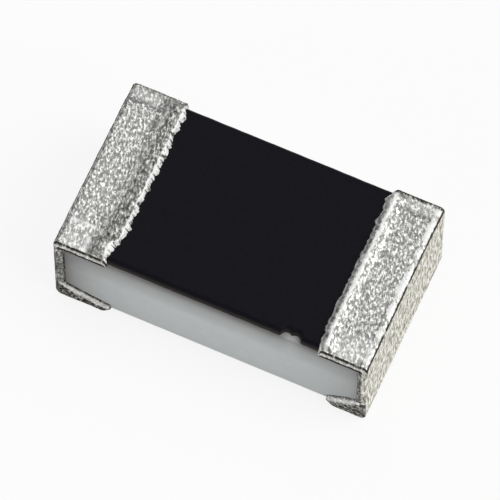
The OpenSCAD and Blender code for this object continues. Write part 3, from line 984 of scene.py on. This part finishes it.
    # End face, with the rounds that lead to it; on the end face an even painted highlight
    painted_highlight[first_end:last_end] = shape["end_highlight"]
    face_on = np.zeros((rings, len(ys)))
    face_on[first_end:last_end] = 1.0
    face_on[first_turn:first_end] = rise(degrees, END_FROM, TURN_RUN)
    round_corner = on_end[:, None] * fade(along, shape["bar_from"], BAR_RUN)
    return {
        "painted_shade": np.clip(np.concatenate([front_shade[:, ::-1], painted_shade, back_shade], axis=1), 0, LINE),
        "painted_highlight": np.clip(np.concatenate([front_highlight[:, ::-1], painted_highlight, back_highlight], axis=1), 0, 1),
        "end_face": np.concatenate([round_corner[:, ::-1], face_on, round_corner], axis=1),
    }


# Relief of the skin: pebbles, drawn out upwards on the end face, over low lumps of the paste
GRAIN_CELL = 12 * UM
GRAIN_STRETCH = 1.6
GRAIN_HEIGHT = 1.8 * UM
GRAIN_MIDDLE = 0.45
GRAIN_FINE = 0.4
GRAIN_FINE_CELL = 6 * UM
# Share of the relief taken away under the painted highlight
HIGHLIGHT_FLATTENS = 0.6
END_GRAIN_STRETCH = 3.0
LUMP_CELL = 70 * UM
LUMP_HEIGHT = 1.4 * UM
SHORTEST_NORMAL = 1e-9


def plated_skin(end, side, shape):
    """One terminal's closed rings (outer row, then inner row), the outer count, and its marks."""
    sheet = terminal_sheet(end, side, shape)
    rims, in_lip = terminal_rims(sheet, shape)
    marks = plating_marks(sheet, rims, in_lip, shape)
    rings, columns = sheet["r"].shape
    rows_y = np.repeat(sheet["ys"][None, :], rings, axis=0)
    flat = np.stack([sheet["r"], rows_y, sheet["z"]], axis=2)
    outside = np.concatenate([rims[-1][:, ::-1], flat, rims[1]], axis=1)
    outside[:, :, 0] *= side
    flat[:, :, 0] *= side

    # Relief along the normals, fading out where the skin ends
    normal = np.cross(np.gradient(outside, axis=0), np.gradient(outside, axis=1)) * side
    normal /= np.maximum(np.linalg.norm(normal, axis=2, keepdims=True), SHORTEST_NORMAL)
    drawn = outside / GRAIN_CELL
    drawn[:, :, 1] /= GRAIN_STRETCH
    drawn[sheet["first_end"]:sheet["last_end"], :, 2] /= END_GRAIN_STRETCH
    nearest = [noise.voronoi(Vector(p))[0][0] for p in drawn.reshape(-1, 3)]
    grain = GRAIN_MIDDLE - np.array(nearest).reshape(rings, -1)
    grain += GRAIN_FINE * ripple(outside, GRAIN_FINE_CELL, offset=5.5)
    relief = GRAIN_HEIGHT * grain * (1 - HIGHLIGHT_FLATTENS * marks["painted_highlight"])
    relief += LUMP_HEIGHT * ripple(outside, LUMP_CELL, offset=1.7)
    relief[:, 0] = relief[:, -1] = 0
    relief[0, :] = relief[-1, :] = 0
    outside += normal * relief[:, :, None]
    outside[:, :, 2] = np.maximum(outside[:, :, 2], tin_bottom + SOLE_LIFT)

    inner_y = np.linspace(side_y - INNER_MARGIN, INNER_MARGIN - side_y, INNER_COLUMNS)
    near = np.clip(np.searchsorted(sheet["ys"], inner_y), 0, columns - 1)
    skin = flat[:, near] - normal[:, near + RIM_COLUMNS] * TIN_SKIN
    skin[:, :, 1] = inner_y
    marks["pebble"] = grain
    return np.concatenate([outside, skin], axis=1), outside.shape[1], marks


def zipped_cap(top_chain, low_chain, flip):
    """Triangles that close a ring between its long outer row and its short inner row."""
    faces = []
    i = k = 0
    top_last, low_last = len(top_chain) - 1, len(low_chain) - 1
    while i < top_last or k < low_last:
        if k == low_last or (i < top_last and i * low_last <= k * top_last):
            face = (top_chain[i], top_chain[i + 1], low_chain[k])
            i += 1
        else:
            face = (top_chain[i], low_chain[k + 1], low_chain[k])
            k += 1
        faces.append(tuple(reversed(face)) if flip else face)
    return faces


# Matte tin: bright metal grain, with painted shade in the hollows; places of painted highlight
# and of painted shade are no bare metal, and neither are the dark grains of the end face
matte_tin, tin_tree, tin_shader = new_material("matte_tin")
tin_grain = place_group(tin_tree, mottle, {
    "Cell": 10.5 * UM * MM,
    "Stretch": 2.0,
    "Turn": -0.42,
    "Fine Share": 0.12,
    "Softness": 0.095,
    "Light": (0.97, 0.975, 0.945, 1),
    "Dark": (0.28, 0.285, 0.272, 1),
    "Smoothest": 0.24,
    "Roughest": 0.4,
})
end_grain = place_group(tin_tree, mottle, {
    "Cell": 15 * UM * MM,
    "Stretch Up": 3.9,
    "Fine Share": 0.25,
    "Softness": 0.09,
    "Light": (0.99, 0.975, 0.895, 1),
    "Dark": (0.27, 0.257, 0.197, 1),
})
TIN_HOLLOW_SHADE = (0.24, 0.24, 0.228, 1)
# Colour of the painted highlight, then of the painted shade
TIN_PAINTED_HIGHLIGHT = (0.96, 0.96, 0.94, 1)
TIN_PAINTED_SHADE = (0.045, 0.038, 0.028, 1)
TIN_RELIEF = 1.2 * UM * MM
pebble, painted_shade, painted_highlight, end_face = (
    add(tin_tree, "ShaderNodeAttribute", attribute_name=mark).outputs["Fac"]
    for mark in ("pebble", "painted_shade", "painted_highlight", "end_face"))
# Painted shade in the hollows of the grain: the lower the pebble relief, the darker the tin
tin_raised = remap(tin_tree, pebble, From_Min=-0.4, From_Max=0.05)
tin_color = mix(tin_tree, "Color", tin_raised, TIN_HOLLOW_SHADE, tin_grain["Color"])
tin_color = mix(tin_tree, "Color", end_face, tin_color, end_grain["Color"])
tin_color = mix(tin_tree, "Color", painted_highlight, tin_color, TIN_PAINTED_HIGHLIGHT)
# Painted shade, broken by the grain's specks
tin_speckled = remap(tin_tree, tin_grain["Height"], To_Min=1.25, To_Max=0.6)
tin_shade_share = calculate(tin_tree, "MULTIPLY", painted_shade, tin_speckled, use_clamp=True)
tin_color = mix(tin_tree, "Color", tin_shade_share, tin_color, TIN_PAINTED_SHADE)
end_dark = calculate(tin_tree, "SUBTRACT", 1.0, end_grain["Height"])
end_matte = calculate(tin_tree, "MULTIPLY", end_dark, end_face)
tin_covered = calculate(tin_tree, "MAXIMUM", tin_shade_share, painted_highlight)
tin_covered = calculate(tin_tree, "MAXIMUM", tin_covered, end_matte)
tin_bump = add(
    tin_tree, "ShaderNodeBump", Strength=1.0, Distance=TIN_RELIEF, Height=tin_grain["Height"])
dress(tin_tree, tin_shader, {
    "Base Color": tin_color,
    "Metallic": calculate(tin_tree, "SUBTRACT", 1.0, tin_covered),
    "Roughness": tin_grain["Roughness"],
    "Normal": tin_bump.outputs["Normal"],
    "Specular IOR Level": 0.0,
})

for which, (end, side) in enumerate((("left", -1), ("right", 1))):
    shape = {name: values[which] for name, values in TERMINAL_SHAPES.items()}
    loop, outer_count, marks = plated_skin(end, side, shape)
    rings, around = loop.shape[:2]
    tin_faces = tube_faces(rings, around)
    last = (rings - 1) * around
    outer_row = list(range(outer_count))
    inner_row = list(reversed(range(outer_count, around)))
    tin_faces += zipped_cap(outer_row, inner_row, False)
    tin_faces += zipped_cap([last + i for i in outer_row], [last + i for i in inner_row], True)
    if side > 0:
        tin_faces = [tuple(reversed(f)) for f in tin_faces]
    piece = make_piece(
        f"{end}_tin_terminal", loop, tin_faces, matte_tin, f"{end}_tin_plating")
    unseen = np.zeros((rings, around - outer_count))
    for mark, values in marks.items():
        shade_by_point(piece, mark, np.concatenate([values, unseen], axis=1))


# Floor: a plain pale sheet under the chip, wide enough to fill the view from any side.
# It looks white to the camera and in the metal, and keeps the chip's shadow.
FLOOR_HALF = 0.4
FLOOR_WHITE = 0.85
FLOOR_PAPER = (0.9, 0.9, 0.9, 1)
floor_z = cad_box[0][2]
floor_mesh = bpy.data.meshes.new("floor")
floor_mesh.from_pydata(
    [(x * FLOOR_HALF, y * FLOOR_HALF, floor_z) for x, y in ((-1, -1), (1, -1), (1, 1), (-1, 1))],
    [],
    [(0, 1, 2, 3)],
)
floor = bpy.data.objects.new("floor", floor_mesh)
bpy.context.scene.collection.objects.link(floor)
floor_paper, floor_tree, floor_shader = new_material("pale_floor")
dress(floor_tree, floor_shader, {
    "Base Color": FLOOR_PAPER,
    "Roughness": 0.9,
    "Specular IOR Level": 0.1,
})
floor_glow = add(floor_tree, "ShaderNodeEmission", Color=(1, 1, 1, 1), Strength=1.0)
floor_path = add(floor_tree, "ShaderNodeLightPath").outputs
floor_seen = floor_path["Is Camera Ray"]
for ray in ("Is Glossy Ray", "Is Transmission Ray"):
    floor_seen = calculate(floor_tree, "MAXIMUM", floor_seen, floor_path[ray])
floor_mix = add(floor_tree, "ShaderNodeMixShader")
for socket, given in zip(floor_mix.inputs, (
    calculate(floor_tree, "MULTIPLY", floor_seen, FLOOR_WHITE),
    floor_shader.outputs["BSDF"],
    floor_glow.outputs["Emission"],
)):
    feed(floor_tree, socket, given)
feed(floor_tree, floor_tree.nodes["Material Output"].inputs["Surface"], floor_mix.outputs["Shader"])
floor_mesh.materials.append(floor_paper)


# Light: a large soft lamp high on the right, a weaker one overhead from behind, two dim white cards
# low on the left and in front, and a dim even room.
ROOM_GREY = (0.25, 0.25, 0.25, 1)


def outward(azimuth, elevation):
    """The direction from the chip to a lamp or the camera; azimuth 0 is in front of it."""
    a, e = math.radians(azimuth), math.radians(elevation)
    return Vector((math.sin(a) * math.cos(e), -math.cos(a) * math.cos(e), math.sin(e)))


def soft_sun(name, azimuth, elevation, strength, spread):
    lamp = bpy.data.lights.new(name, "SUN")
    lamp.energy = strength
    lamp.angle = math.radians(spread)
    holder = bpy.data.objects.new(name, lamp)
    holder.rotation_euler = outward(azimuth, elevation).to_track_quat("Z", "Y").to_euler()
    bpy.context.scene.collection.objects.link(holder)


soft_sun("key_softbox", azimuth=100, elevation=42, strength=1.9, spread=60)
soft_sun("top_softbox", azimuth=205, elevation=70, strength=0.75, spread=60)
soft_sun("left_card", azimuth=285, elevation=12, strength=0.17, spread=40)
soft_sun("front_card", azimuth=350, elevation=20, strength=0.22, spread=44)
room = bpy.data.worlds.new("studio_room")
room.use_nodes = True
room.node_tree.nodes["Background"].inputs["Color"].default_value = ROOM_GREY
room.node_tree.nodes["Background"].inputs["Strength"].default_value = 1.0
bpy.context.scene.world = room


# Camera: high over the front right corner, far off through a long lens that keeps edges parallel.
# It aims just below the chip's middle.
CAMERA_AZIMUTH = 24.0
CAMERA_ELEVATION = 66.2
CAMERA_ROLL = 0.2
CAMERA_DISTANCE = 31.2 * MM
CAMERA_SENSOR = 36.0
FRAME_WIDTH = 2.29 * MM
FRAME_SHIFT = (0.0016, 0.0004)
NEAR_CLIP = 0.1 * CAMERA_DISTANCE
FAR_CLIP = 100 * CAMERA_DISTANCE
AIM = Vector((0.0, 0.0, -0.017 * MM))

camera_data = bpy.data.cameras.new("camera")
camera_data.sensor_width = CAMERA_SENSOR
camera_data.lens = CAMERA_SENSOR * CAMERA_DISTANCE / FRAME_WIDTH
camera_data.clip_start = NEAR_CLIP
camera_data.clip_end = FAR_CLIP
camera_data.shift_x, camera_data.shift_y = FRAME_SHIFT
camera = bpy.data.objects.new("camera", camera_data)
camera_back = outward(CAMERA_AZIMUTH, CAMERA_ELEVATION)
camera.location = AIM + camera_back * CAMERA_DISTANCE
camera.rotation_euler = camera_back.to_track_quat("Z", "Y").to_euler()
camera.rotation_euler.rotate_axis("Z", math.radians(CAMERA_ROLL))
bpy.context.scene.collection.objects.link(camera)
bpy.context.scene.camera = camera
bpy.context.scene.view_settings.view_transform = "Standard"
